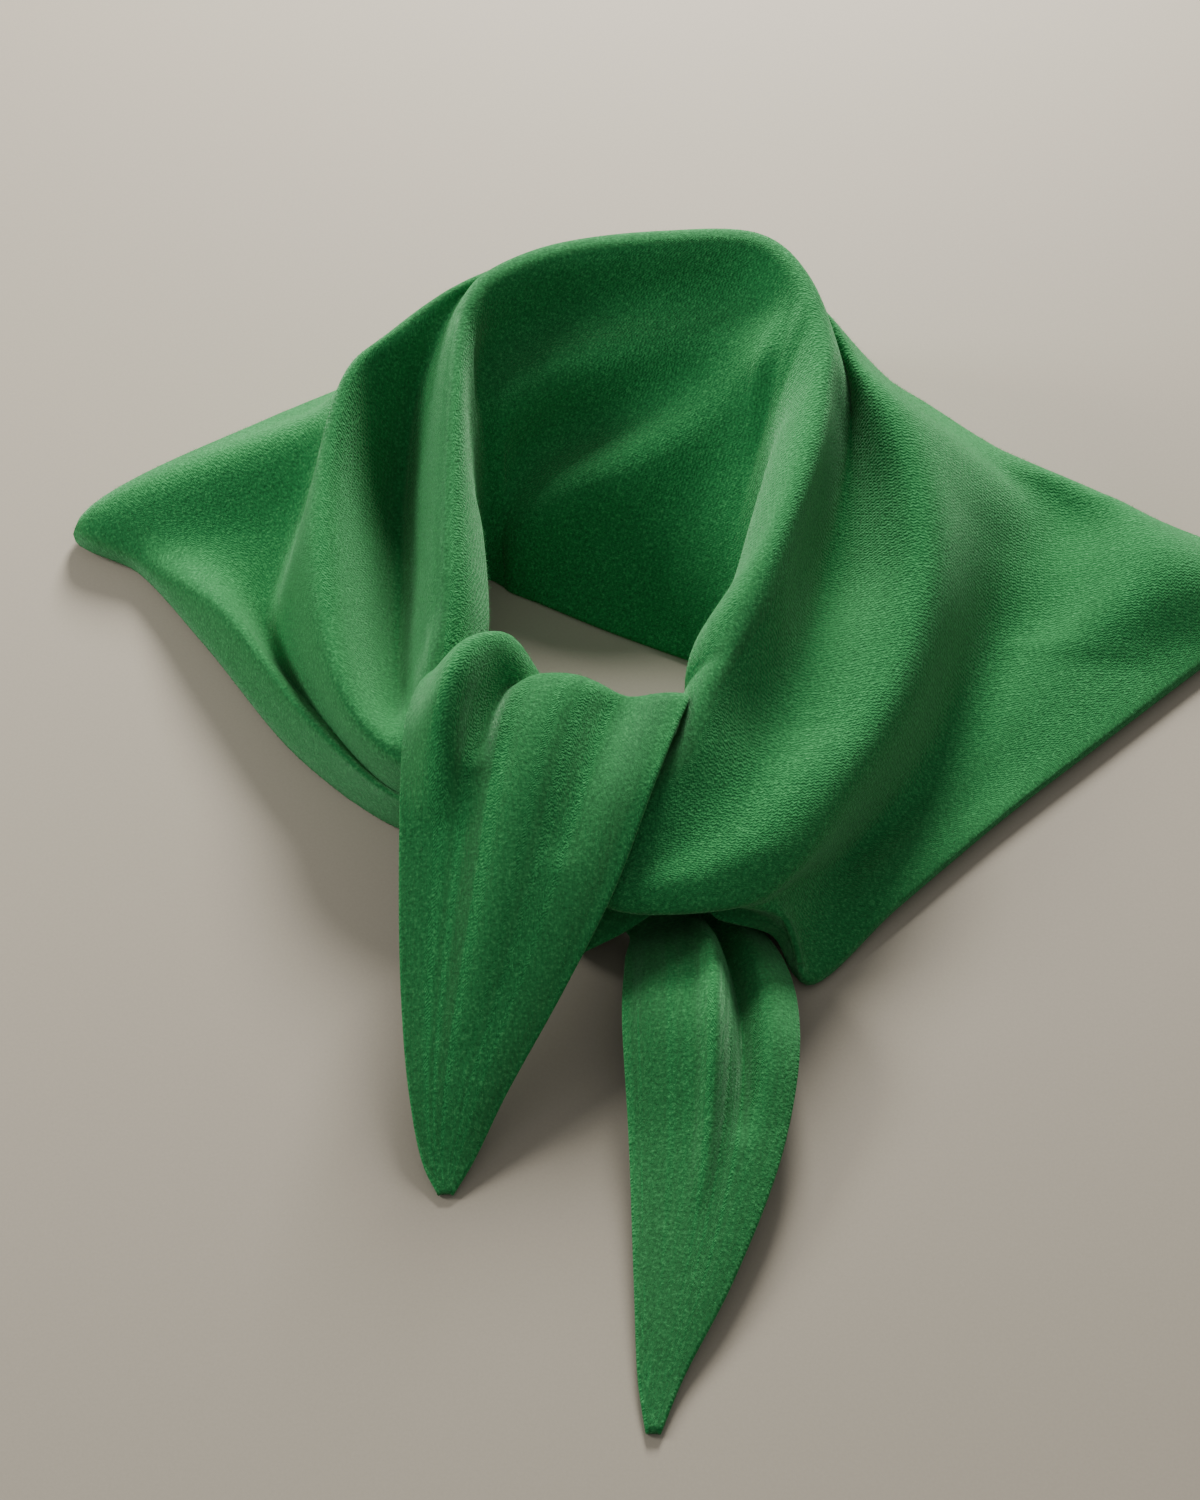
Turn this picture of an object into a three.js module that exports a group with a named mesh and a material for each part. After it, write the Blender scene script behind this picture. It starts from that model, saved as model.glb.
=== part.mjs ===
// A knitted triangle scarf, lying on a table as a standing neck loop that is tied at the front
// with a loose half knot. The whole scarf is one piece of cloth, so it is one closed solid: a
// sheet worked out from sections along the cloth, then given its thickness.
//
// Lengths are millimetres. X runs to the right and Y to the back, seen from the tails, and Z is up.
import * as THREE from "three";

// Driving sizes
const COLLAR_HEIGHT = 96; // from the table to the crest at the back of the neck
const LOOP_WIDTH = 200; // across the neck loop, over its first folds
const LOOP_LENGTH = 250; // from the front of the knot to the back crest
const SKIRT_REACH = 320; // from the loop to the farthest corner of the skirt
const UPPER_TAIL_LENGTH = 200; // from the top of the knot to the tip that falls over it
const LOWER_TAIL_LENGTH = 213; // from under the knot to the other tip
const FOLD_DEPTH = 10; // the height of a full small fold
const HEM_LIP = 6; // how far the hem's edge turns under, seen from above
const HEM_CURL = 5; // how high the hem curls over that edge
const WALL = 2.5; // thickness of the milled knit
const KNOT_TOP = 0.096; // where the upper tail turns over the knot, as a share of LOOP_LENGTH
const KNOT_FRONT = 0.44; // where the lower tail leaves the knot, as a share of LOOP_LENGTH
const FOLD_END = 0.7; // how softly a small fold fades out, from 0 blunt to 2 very soft
const PRESSED = 0.4; // cloth this near the table touches it

// How finely the cloth is divided
const STEPS_ALONG = 96;
const STEPS_ACROSS = [3, 4, 4, 3, 3, 3, 3, 3, 3]; // in the gap from each rail to the next
const RAILS = STEPS_ACROSS.length + 1;

// A table's rows as objects that are read by column name.
function table(columns, rows) {
  return rows.map((row) => Object.fromEntries(columns.map((name, i) => [name, row[i]])));
}

// The ring: rails that run round the neck loop. Stations 0 to 20 go from the left of the knot,
// up the left band, round the back, down the right band and over the front of the knot.
// x is a share of LOOP_WIDTH, y of LOOP_LENGTH and z of COLLAR_HEIGHT.
const CREST = table(["station", "x", "y", "z"], [
  [0, -0.325, -0.08, 0.62],
  [1, -0.33, 0.1, 0.73],
  [2, -0.335, 0.296, 0.81],
  [3, -0.33, 0.508, 0.895],
  [4, -0.315, 0.652, 0.95],
  [5, -0.285, 0.732, 0.98],
  [6, -0.23, 0.784, 0.99],
  [7, -0.09, 0.84, 1],
  [8, 0.135, 0.872, 1],
  [9, 0.35, 0.872, 0.99],
  [10, 0.45, 0.78, 0.98],
  [11, 0.495, 0.628, 0.96],
  [12, 0.485, 0.5, 0.93],
  [13, 0.46, 0.38, 0.905],
  [14, 0.405, 0.228, 0.865],
  [15, 0.335, 0.056, 0.8],
  [16, 0.23, -0.1, 0.72],
  [17, 0.17, -0.216, 0.64],
  [18, 0.08, -0.29, 0.575],
  [18.5, 0.036, -0.313, 0.55],
  [19, -0.01, -0.33, 0.53],
  [20, -0.1, -0.355, 0.5],
]);

// The second fold, outside the crest, with the same columns.
const PLEAT = table(["station", "x", "y", "z"], [
  [0, -0.4, -0.168, 0.415],
  [1, -0.53, -0.032, 0.48],
  [2, -0.605, 0.264, 0.575],
  [3, -0.6, 0.472, 0.655],
  [4, -0.558, 0.634, 0.75],
  [5, -0.465, 0.716, 0.812],
  [6, -0.33, 0.792, 0.895],
  [7, -0.15, 0.888, 0.835],
  [8, 0.12, 0.928, 0.81],
  [9, 0.37, 0.912, 0.8],
  [10, 0.51, 0.75, 0.83],
  [11, 0.575, 0.64, 0.79],
  [12, 0.655, 0.52, 0.78],
  [13, 0.7, 0.368, 0.71],
  [14, 0.705, 0.208, 0.625],
  [15, 0.665, 0.056, 0.55],
  [16, 0.59, -0.096, 0.5],
  [17, 0.49, -0.244, 0.46],
  [18, 0.38, -0.376, 0.425],
  [19, 0.22, -0.452, 0.4],
  [20, 0.04, -0.456, 0.39],
]);

// The neck edge at the foot of the collar's inner wall, with the same columns.
const FOOT = table(["station", "x", "y", "z"], [
  [0, -0.25, -0.032, 0.36],
  [1, -0.25, 0.12, 0.15],
  [2, -0.265, 0.304, 0.02],
  [3, -0.275, 0.384, 0],
  [4, -0.27, 0.404, 0],
  [5, -0.24, 0.4, 0],
  [6, -0.2, 0.376, 0],
  [7, -0.125, 0.34, 0],
  [8, 0, 0.284, 0],
  [9, 0.12, 0.236, 0],
  [10, 0.21, 0.2, 0],
  [11, 0.26, 0.168, 0],
  [12, 0.285, 0.136, 0],
  [13, 0.295, 0.096, 0],
  [14, 0.285, 0.04, 0],
  [15, 0.205, -0.016, 0.04],
  [16, 0.17, -0.088, 0.125],
  [17, 0.15, -0.144, 0.27],
  [18, 0.08, -0.184, 0.345],
  [19, 0, -0.216, 0.395],
  [20, -0.09, -0.24, 0.42],
]);

// The hem, lying on the table. x and y are shares of SKIRT_REACH, z of COLLAR_HEIGHT.
const HEM = table(["station", "x", "y", "z"], [
  [0, -0.262, -0.143, 0.052],
  [1, -0.399, -0.024, 0.052],
  [2, -0.547, 0.185, 0.052],
  [3, -0.65, 0.318, 0.052],
  [4, -0.745, 0.393, 0.073],
  [5, -0.568, 0.559, 0.042],
  [6, -0.36, 0.681, 0.045],
  [7, -0.156, 0.756, 0.045],
  [8, 0.062, 0.8, 0.045],
  [9, 0.275, 0.781, 0.045],
  [10, 0.444, 0.685, 0.042],
  [11, 0.596, 0.544, 0.042],
  [12, 0.785, 0.418, 0.042],
  [13, 0.976, 0.283, 0.052],
  [14, 0.828, 0.152, 0.052],
  [15, 0.672, 0.008, 0.052],
  [16, 0.526, -0.126, 0.052],
  [17, 0.379, -0.272, 0.052],
  [18, 0.258, -0.392, 0.047],
  [18.5, 0.237, -0.339, 0.177],
  [19, 0.156, -0.312, 0.27],
  [20, 0.131, -0.281, 0.29],
]);

// Rails between those, each with a share of the way and a height (share of COLLAR_HEIGHT).
// LEAN and TUCK lie between the foot and the crest.
const LEAN = table(["station", "way", "z"], [
  [0, 0, 0.46],
  [2, 0, 0.29],
  [3, 0.05, 0.29],
  [4, 0.2, 0.33],
  [6, 0.3, 0.355],
  [10, 0.3, 0.355],
  [12, 0.3, 0.375],
  [13, 0.25, 0.375],
  [14, 0.15, 0.355],
  [15, 0.05, 0.355],
  [16, 0, 0.395],
  [18, 0.1, 0.44],
  [20, 0.25, 0.44],
]);
const TUCK = table(["station", "way", "z"], [
  [0, 0, 0.56],
  [2, 0, 0.625],
  [3, 0.15, 0.645],
  [4, 0.45, 0.665],
  [6, 0.65, 0.69],
  [8, 0.7, 0.69],
  [10, 0.7, 0.71],
  [12, 0.65, 0.71],
  [13, 0.55, 0.71],
  [14, 0.35, 0.69],
  [15, 0.15, 0.665],
  [16, 0.05, 0.61],
  [18, 0.4, 0.53],
  [20, 0.6, 0.49],
]);

// DIP lies between the crest and the second fold.
const DIP = table(["station", "way", "z"], [
  [0, 0.5, 0.5],
  [1, 0.445, 0.285],
  [2, 0.385, 0.195],
  [3, 0.425, 0.29],
  [4, 0.425, 0.545],
  [5, 0.4, 0.805],
  [6, 0.5, 0.925],
  [7, 0.5, 0.94],
  [8, 0.5, 0.915],
  [9, 0.5, 0.905],
  [10, 0.55, 0.835],
  [11, 0.655, 0.72],
  [12, 0.37, 0.58],
  [13, 0.265, 0.495],
  [14, 0.255, 0.44],
  [15, 0.3, 0.5],
  [16, 0.38, 0.52],
  [17, 0.45, 0.53],
  [18, 0.5, 0.51],
  [19, 0.5, 0.48],
  [20, 0.5, 0.46],
]);

// HOLLOW and ROLL lie between the second fold and the hem.
const HOLLOW = table(["station", "way", "z"], [
  [0, 0.3, 0.21],
  [1, 0.32, 0.24],
  [2, 0.46, 0.07],
  [3, 0.185, 0.24],
  [4, 0.125, 0.465],
  [5, 0.35, 0.375],
  [6, 0.5, 0.415],
  [7, 0.5, 0.435],
  [8, 0.5, 0.415],
  [9, 0.5, 0.415],
  [10, 0.45, 0.42],
  [11, 0.45, 0.4],
  [12, 0.5, 0.23],
  [13, 0.25, 0.21],
  [14, 0.22, 0.145],
  [15, 0.22, 0.125],
  [16, 0.22, 0.105],
  [17, 0.1, 0.085],
  [18, 0, 0.26],
  [18.5, 0.3, 0.33],
  [19, 0.35, 0.35],
  [20, 0.4, 0.35],
]);
const ROLL = table(["station", "way", "z"], [
  [0, 0.945, 0.23],
  [1, 0.74, 0.265],
  [2, 0.81, 0.25],
  [3, 0.88, 0.15],
  [4, 0.85, 0.225],
  [5, 0.72, 0.225],
  [6, 0.8, 0.17],
  [7, 0.8, 0.15],
  [8, 0.8, 0.14],
  [9, 0.8, 0.14],
  [10, 0.8, 0.17],
  [11, 0.8, 0.18],
  [12, 0.85, 0.145],
  [13, 0.6, 0.19],
  [14, 0.55, 0.125],
  [15, 0.6, 0.085],
  [16, 0.6, 0.05],
  [17, 0.6, 0.07],
  [18, 0.75, 0.1],
  [18.5, 0.85, 0.24],
  [19, 0.75, 0.31],
  [20, 0.8, 0.33],
]);

// The band under the knot and the lower tail, from its tip back to the left band. A row places
// the cloth's two edges: x is a share of LOOP_WIDTH, out a share of LOWER_TAIL_LENGTH from the
// knot and z of COLLAR_HEIGHT. bulge lifts the middle by a share of FOLD_DEPTH.
const BAND_COLUMNS = [
  "station", "neck_x", "neck_out", "neck_z", "hem_x", "hem_out", "hem_z", "bulge",
];
const LOWER = table(BAND_COLUMNS, [
  [-9, 0.102, 0.993, 0.012, 0.086, 0.993, 0.012, 0],
  [-8, 0.145, 0.893, 0.031, 0.073, 0.902, 0.031, 0.05],
  [-7, 0.241, 0.717, 0.083, 0.067, 0.734, 0.073, 0.2],
  [-6, 0.344, 0.462, 0.146, 0.059, 0.451, 0.135, 0.4],
  [-5, 0.382, 0.231, 0.208, 0.047, 0.204, 0.229, 0.7],
  [-4, 0.358, 0.028, 0.083, 0.054, 0.061, 0.156, 0.8],
  [-3, 0.276, -0.104, 0.042, 0.057, -0.026, 0.104, 0.2],
  [-2, 0.07, -0.254, 0.19, -0.12, -0.066, 0.19, 0.2],
  [-1, -0.14, -0.404, 0.42, -0.32, -0.207, 0.29, 0.3],
]);

// The band that wraps under the left band, comes up through the loop and falls as the upper
// tail, with the same columns, but out is a share of UPPER_TAIL_LENGTH from the top of the knot.
const UPPER = table(BAND_COLUMNS, [
  [21, -0.21, 0.2, 0.44, 0.04, 0.44, 0.21, 0.8],
  [22, -0.29, 0.295, 0.26, -0.05, 0.47, 0.14, 0.5],
  [23, -0.26, 0.25, 0.055, -0.04, 0.43, 0.03, 0],
  [24, -0.2, 0.14, 0.025, 0.04, 0.31, 0.025, 0],
  [25, -0.18, 0.03, 0.03, 0.11, 0.14, 0.03, 0],
  [26, -0.161, -0.069, 0.208, 0.096, -0.031, 0.208, 0],
  [27, -0.203, -0.058, 0.542, 0.129, -0.015, 0.542, 0.1],
  [27.5, -0.267, -0.061, 0.667, 0.155, 0.007, 0.646, 0.1],
  [28, -0.343, -0.021, 0.708, 0.174, 0.023, 0.698, 0.2],
  [29, -0.382, 0.067, 0.688, 0.153, 0.092, 0.708, 0.3],
  [30, -0.394, 0.218, 0.594, 0.103, 0.236, 0.677, 0.3],
  [31, -0.393, 0.427, 0.438, 0.022, 0.438, 0.5, 0.4],
  [32, -0.384, 0.625, 0.281, -0.08, 0.623, 0.312, 0.4],
  [33, -0.364, 0.807, 0.146, -0.187, 0.808, 0.156, 0.3],
  [34, -0.335, 0.933, 0.042, -0.25, 0.932, 0.052, 0.1],
  [35, -0.305, 0.991, 0.012, -0.286, 0.991, 0.012, 0],
]);

// Small folds across the rails: each runs straight from one station and rail to another, is
// spread by its width in rails and stands height times FOLD_DEPTH off the cloth.
const FOLDS = table(["from", "rail", "to", "rail_to", "width", "height"], [
  [4.5, 2.85, 10.6, 2.95, 0.35, 0.4],
  [4.5, 2.25, 10.3, 2.5, 0.35, -1.1],
  [5, 1.65, 10.3, 2.35, 0.4, 0.9],
  [5.8, 1.1, 9.8, 2.05, 0.35, -1.3],
  [5.8, 0.3, 10.5, 2.4, 0.4, 1.1],
  [10.2, 1.95, 15.6, 2.1, 0.7, 1.3],
  [11.6, 6.3, 14, 6.6, 0.4, -0.5],
  [11.8, 6.9, 14.2, 7.3, 0.35, 0.6],
  [16.2, 4.5, 20.6, 4.4, 0.35, 0.3],
  [26.6, 1.4, 30.4, 1.4, 1, 2],
  [26.8, 2.8, 29.8, 2.6, 0.45, -0.7],
  [27, 4.6, 32.6, 4, 1.2, 0.4],
  [26.8, 7, 30.8, 6.6, 1.1, -0.6],
  [-6.5, 4.4, -3, 4.3, 0.6, 0.5],
  [-6, 2.6, -2.8, 2.8, 0.9, -1.2],
]);

// Cubic through the rows (place, value), at the place asked for.
function through(places, values, at) {
  const last = places.length - 1;
  let i = 0;
  while (i < last - 1 && at >= places[i + 1]) i += 1;
  const slope = (k) => (values[k + 1] - values[k]) / (places[k + 1] - places[k]);
  const tangent = (k) => {
    if (k === 0) return slope(0);
    if (k === last) return slope(last - 1);
    const before = places[k] - places[k - 1];
    const after = places[k + 1] - places[k];
    return (slope(k - 1) * after + slope(k) * before) / (before + after);
  };
  const gap = places[i + 1] - places[i];
  const t = (at - places[i]) / gap;
  const s = 1 - t;
  return (
    (1 + 2 * t) * s * s * values[i] +
    t * s * s * gap * tangent(i) +
    t * t * (3 - 2 * t) * values[i + 1] -
    t * t * s * gap * tangent(i + 1)
  );
}

// A column of a table at a station.
function read(rows, column, station) {
  return through(rows.map((row) => row.station), rows.map((row) => row[column]), station);
}

// A point that runs from one rail towards another, at a height of its own.
function between(from, to, rows, station) {
  const point = new THREE.Vector3().lerpVectors(from, to, read(rows, "way", station));
  point.z = read(rows, "z", station) * COLLAR_HEIGHT;
  return point;
}

// The ten rails of the ring at a station, from the neck edge to the hem's lip.
function ringSection(station) {
  const place = (rows, across, along) =>
    new THREE.Vector3(
      read(rows, "x", station) * across,
      read(rows, "y", station) * along,
      read(rows, "z", station) * COLLAR_HEIGHT,
    );
  const foot = place(FOOT, LOOP_WIDTH, LOOP_LENGTH);
  const crest = place(CREST, LOOP_WIDTH, LOOP_LENGTH);
  const pleat = place(PLEAT, LOOP_WIDTH, LOOP_LENGTH);
  const hem = place(HEM, SKIRT_REACH, SKIRT_REACH);
  const lip = pleat.clone().sub(hem).setZ(0).setLength(HEM_LIP).add(hem);
  lip.z -= HEM_CURL;
  return [
    foot,
    between(foot, crest, LEAN, station),
    between(foot, crest, TUCK, station),
    crest,
    between(crest, pleat, DIP, station),
    pleat,
    between(pleat, hem, HOLLOW, station),
    between(pleat, hem, ROLL, station),
    hem,
    lip,
  ];
}

// The ten rails of a band at a row of its table, where heading is the way the cloth runs.
function bandSection(row, length, start, heading) {
  const edge = (name) =>
    new THREE.Vector3(
      row[name + "_x"] * LOOP_WIDTH,
      start - row[name + "_out"] * length,
      row[name + "_z"] * COLLAR_HEIGHT,
    );
  const neck = edge("neck");
  const hem = edge("hem");
  const normal = heading.clone().cross(hem.clone().sub(neck)).normalize();
  return Array.from({ length: RAILS }, (_, i) => {
    const way = i / (RAILS - 1);
    const lift = row.bulge * FOLD_DEPTH * 4 * way * (1 - way);
    return new THREE.Vector3().lerpVectors(neck, hem, way).addScaledVector(normal, lift);
  });
}

// The sections of a band, each facing along the line from the row before it to the row after.
function bandSections(rows, length, start) {
  const middles = rows.map((row) => {
    const out = (row.neck_out + row.hem_out) / 2;
    const across = (row.neck_x + row.hem_x) / 2;
    const height = (row.neck_z + row.hem_z) / 2;
    return new THREE.Vector3(across * LOOP_WIDTH, start - out * length, height * COLLAR_HEIGHT);
  });
  return rows.map((row, i) => {
    const before = middles[Math.max(i - 1, 0)];
    const after = middles[Math.min(i + 1, rows.length - 1)];
    return bandSection(row, length, start, after.clone().sub(before));
  });
}

const sections = [
  ...bandSections(LOWER, LOWER_TAIL_LENGTH, -KNOT_FRONT * LOOP_LENGTH),
  ...CREST.map((row) => ringSection(row.station)),
  ...bandSections(UPPER, UPPER_TAIL_LENGTH, -KNOT_TOP * LOOP_LENGTH),
];
const stations = [...LOWER, ...CREST, ...UPPER].map((row) => row.station);

// Places of the sections along the cloth, closer together where neighbours are close.
const spans = sections.slice(1).map((section, i) => {
  const gaps = section.map((point, k) => point.distanceTo(sections[i][k]));
  return Math.sqrt(gaps.reduce((sum, gap) => sum + gap, 0) / gaps.length);
});
const lengths = spans.reduce((sums, span) => [...sums, sums[sums.length - 1] + span], [0]);

const railNumbers = Array.from({ length: RAILS }, (_, i) => i);
const gridRails = STEPS_ACROSS.flatMap((steps, k) =>
  Array.from({ length: steps }, (_, i) => k + i / steps),
).concat(RAILS - 1);
const axes = ["x", "y", "z"];

// How far the small folds lift the cloth at a station and rail.
function foldHeight(station, rail) {
  return FOLDS.reduce((sum, fold) => {
    const way = (station - fold.from) / (fold.to - fold.from);
    if (way <= 0 || way >= 1) return sum;
    const middle = fold.rail + (fold.rail_to - fold.rail) * way;
    const fade = Math.sin(Math.PI * way) ** FOLD_END;
    const off = (rail - middle) / fold.width;
    return sum + fold.height * FOLD_DEPTH * fade * Math.exp(-off * off);
  }, 0);
}

// The middle of the cloth as a grid of points.
const grid = Array.from({ length: STEPS_ALONG + 1 }, (_, i) => {
  const at = (lengths[lengths.length - 1] * i) / STEPS_ALONG;
  const section = railNumbers.map((k) => {
    const point = new THREE.Vector3();
    axes.forEach((axis) => {
      point[axis] = through(lengths, sections.map((rails) => rails[k][axis]), at);
    });
    return point;
  });
  return gridRails.map((rail) => {
    const point = new THREE.Vector3();
    axes.forEach((axis) => {
      point[axis] = through(railNumbers, section.map((p) => p[axis]), rail);
    });
    return point;
  });
});
const gridStations = grid.map((_, i) =>
  through(lengths, stations, (lengths[lengths.length - 1] * i) / STEPS_ALONG),
);

// The cloth's upper normal at each point of a grid.
function normalsOf(points) {
  const lastRow = points.length - 1;
  const lastColumn = points[0].length - 1;
  return points.map((row, i) =>
    row.map((_, j) => {
      const along = points[Math.min(i + 1, lastRow)][j].clone().sub(points[Math.max(i - 1, 0)][j]);
      const across = row[Math.min(j + 1, lastColumn)].clone().sub(row[Math.max(j - 1, 0)]);
      return along.cross(across).normalize();
    }),
  );
}

const plainNormals = normalsOf(grid);
grid.forEach((row, i) =>
  row.forEach((point, j) => {
    point.addScaledVector(plainNormals[i][j], foldHeight(gridStations[i], gridRails[j]));
  }),
);
const normals = normalsOf(grid);
grid.forEach((row, i) =>
  row.forEach((point, j) => {
    point.z = Math.max(point.z, (WALL / 2) * Math.abs(normals[i][j].z));
  }),
);

// The closed solid: the upper face, the lower face and the strip round the cloth's edge.
function clothGeometry() {
  const rows = grid.length;
  const columns = grid[0].length;
  const positions = [];
  [1, -1].forEach((face) =>
    grid.forEach((row, i) =>
      row.forEach((point, j) => {
        const p = point.clone().addScaledVector(normals[i][j], (face * WALL) / 2);
        if (p.z < PRESSED) p.z = 0;
        positions.push(p.x, p.y, p.z);
      }),
    ),
  );
  const upper = (i, j) => i * columns + j;
  const lower = (i, j) => rows * columns + upper(i, j);
  const faces = [];
  const quad = (a, b, c, d) => faces.push(a, c, b, a, d, c);
  for (let i = 0; i < rows - 1; i += 1) {
    for (let j = 0; j < columns - 1; j += 1) {
      quad(upper(i, j), upper(i, j + 1), upper(i + 1, j + 1), upper(i + 1, j));
      quad(lower(i, j), lower(i + 1, j), lower(i + 1, j + 1), lower(i, j + 1));
    }
    quad(upper(i, 0), upper(i + 1, 0), lower(i + 1, 0), lower(i, 0));
    const end = columns - 1;
    quad(upper(i + 1, end), upper(i, end), lower(i, end), lower(i + 1, end));
  }
  for (let j = 0; j < columns - 1; j += 1) {
    quad(upper(0, j + 1), upper(0, j), lower(0, j), lower(0, j + 1));
    const end = rows - 1;
    quad(upper(end, j), upper(end, j + 1), lower(end, j + 1), lower(end, j));
  }
  const geometry = new THREE.BufferGeometry();
  geometry.setAttribute("position", new THREE.Float32BufferAttribute(positions, 3));
  geometry.setIndex(faces);
  geometry.computeVertexNormals();
  return geometry;
}

const cloth = new THREE.Mesh(
  clothGeometry(),
  new THREE.MeshStandardMaterial({ color: 0x2f9a52, roughness: 0.95, metalness: 0 }),
);
cloth.name = "scarf_cloth";

// The scarf stands with the middle of its outline over the origin.
const scarf = new THREE.Group();
const outline = new THREE.Box3().setFromObject(cloth);
const centre = outline.getCenter(new THREE.Vector3());
cloth.position.set(-centre.x, -centre.y, -outline.min.z);
scarf.add(cloth);

export default scarf;
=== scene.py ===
# %% [markdown]
# # A knitted triangle scarf
# The scarf lies on a table as a standing neck loop, tied at the front with a loose half knot. It
# is one piece of cloth, so this lesson makes one main surface and spends its effort on the drape,
# the soft cut edges and the look of milled wool.
#
# We start by loading the scarf's plain solid. It gives the frame, the size and the place of all
# that follows, and the box that the finished cloth is centred over.

# %% The frame
import math

import bpy
import numpy as np
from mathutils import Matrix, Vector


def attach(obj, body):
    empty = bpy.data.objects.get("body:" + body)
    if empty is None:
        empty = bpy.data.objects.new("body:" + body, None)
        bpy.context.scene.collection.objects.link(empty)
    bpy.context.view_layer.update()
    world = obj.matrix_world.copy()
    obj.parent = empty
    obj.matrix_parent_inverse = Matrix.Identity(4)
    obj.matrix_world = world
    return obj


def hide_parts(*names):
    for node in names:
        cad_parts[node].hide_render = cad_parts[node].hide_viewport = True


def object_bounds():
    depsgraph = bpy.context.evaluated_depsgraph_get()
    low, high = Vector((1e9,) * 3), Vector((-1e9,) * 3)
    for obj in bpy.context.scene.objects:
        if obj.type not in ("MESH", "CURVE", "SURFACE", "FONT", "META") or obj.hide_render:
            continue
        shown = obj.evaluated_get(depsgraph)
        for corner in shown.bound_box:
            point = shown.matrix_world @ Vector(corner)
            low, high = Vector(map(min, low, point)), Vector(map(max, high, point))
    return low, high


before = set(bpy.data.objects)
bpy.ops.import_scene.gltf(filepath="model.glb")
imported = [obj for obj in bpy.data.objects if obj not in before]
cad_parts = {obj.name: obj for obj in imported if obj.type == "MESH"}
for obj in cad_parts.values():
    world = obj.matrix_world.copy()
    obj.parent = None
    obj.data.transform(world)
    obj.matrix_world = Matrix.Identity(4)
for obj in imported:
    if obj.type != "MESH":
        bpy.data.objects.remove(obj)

MM = 0.001
solid_box = np.array([list(corner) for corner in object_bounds()])
print("solid box in metres:", solid_box.round(4).tolist())

# %% [markdown]
# ## The sizes
# The cloth is worked out from the same few sizes as the solid. Every length in the tables below is
# a share of one of them, so a wider loop or a taller collar carries its folds along. HEM_LIP and
# HEM_CURL say how far the hem turns in and down, and what lies below PRESSED is flat on the table.
# KNOT_TOP and KNOT_FRONT say how far in front of the middle the two tails start.

# %% Driving sizes
COLLAR_HEIGHT = 96 * MM
LOOP_WIDTH = 200 * MM
LOOP_LENGTH = 250 * MM
SKIRT_REACH = 320 * MM
UPPER_TAIL_LENGTH = 200 * MM
LOWER_TAIL_LENGTH = 213 * MM
FOLD_DEPTH = 10 * MM
HEM_LIP = 6 * MM
HEM_CURL = 5 * MM
WALL = 2.5 * MM
PRESSED = 0.4 * MM
KNOT_TOP = 0.096 * LOOP_LENGTH
KNOT_FRONT = 0.44 * LOOP_LENGTH
FOLD_END = 0.7  # below 1, a small fold stays full for longer before it fades
print("loop:", LOOP_WIDTH, "by", LOOP_LENGTH, "m, collar", round(COLLAR_HEIGHT, 3), "m high")

# %% [markdown]
# ## The rails of the ring
# Think of the collar as a ring of ribs. Each rib, or station, crosses ten rails that run round the
# neck: the neck edge at the foot of the inner wall, the crest, a second fold outside it, the hem
# on the table, and rails between those. Stations 0 to 20 go from the left of the knot up the left
# band, round the back, down the right band and over the front of the knot. One could sculpt such a
# shape, but a table of rails keeps every fold a number that can be read and changed.

# %% Rails that are placed by x, y and z
# Columns: station, x, y and z. x is a share of LOOP_WIDTH, y of LOOP_LENGTH and z of
# COLLAR_HEIGHT, but the hem's x and y are shares of SKIRT_REACH.
CREST = np.array([
    [0, -0.325, -0.08, 0.62], [1, -0.33, 0.1, 0.73], [2, -0.335, 0.296, 0.81],
    [3, -0.33, 0.508, 0.895], [4, -0.315, 0.652, 0.95], [5, -0.285, 0.732, 0.98],
    [6, -0.23, 0.784, 0.99], [7, -0.09, 0.84, 1], [8, 0.135, 0.872, 1], [9, 0.35, 0.872, 0.99],
    [10, 0.45, 0.78, 0.98], [11, 0.495, 0.628, 0.96], [12, 0.485, 0.5, 0.93],
    [13, 0.46, 0.38, 0.905], [14, 0.405, 0.228, 0.865], [15, 0.335, 0.056, 0.8],
    [16, 0.23, -0.1, 0.72], [17, 0.17, -0.216, 0.64], [18, 0.08, -0.29, 0.575],
    [18.5, 0.036, -0.313, 0.55], [19, -0.01, -0.33, 0.53], [20, -0.1, -0.355, 0.5],
])
PLEAT = np.array([
    [0, -0.4, -0.168, 0.415], [1, -0.53, -0.032, 0.48], [2, -0.605, 0.264, 0.575],
    [3, -0.6, 0.472, 0.655], [4, -0.558, 0.634, 0.75], [5, -0.465, 0.716, 0.812],
    [6, -0.33, 0.792, 0.895], [7, -0.15, 0.888, 0.835], [8, 0.12, 0.928, 0.81],
    [9, 0.37, 0.912, 0.8], [10, 0.51, 0.75, 0.83], [11, 0.575, 0.64, 0.79],
    [12, 0.655, 0.52, 0.78], [13, 0.7, 0.368, 0.71], [14, 0.705, 0.208, 0.625],
    [15, 0.665, 0.056, 0.55], [16, 0.59, -0.096, 0.5], [17, 0.49, -0.244, 0.46],
    [18, 0.38, -0.376, 0.425], [19, 0.22, -0.452, 0.4], [20, 0.04, -0.456, 0.39],
])
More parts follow.
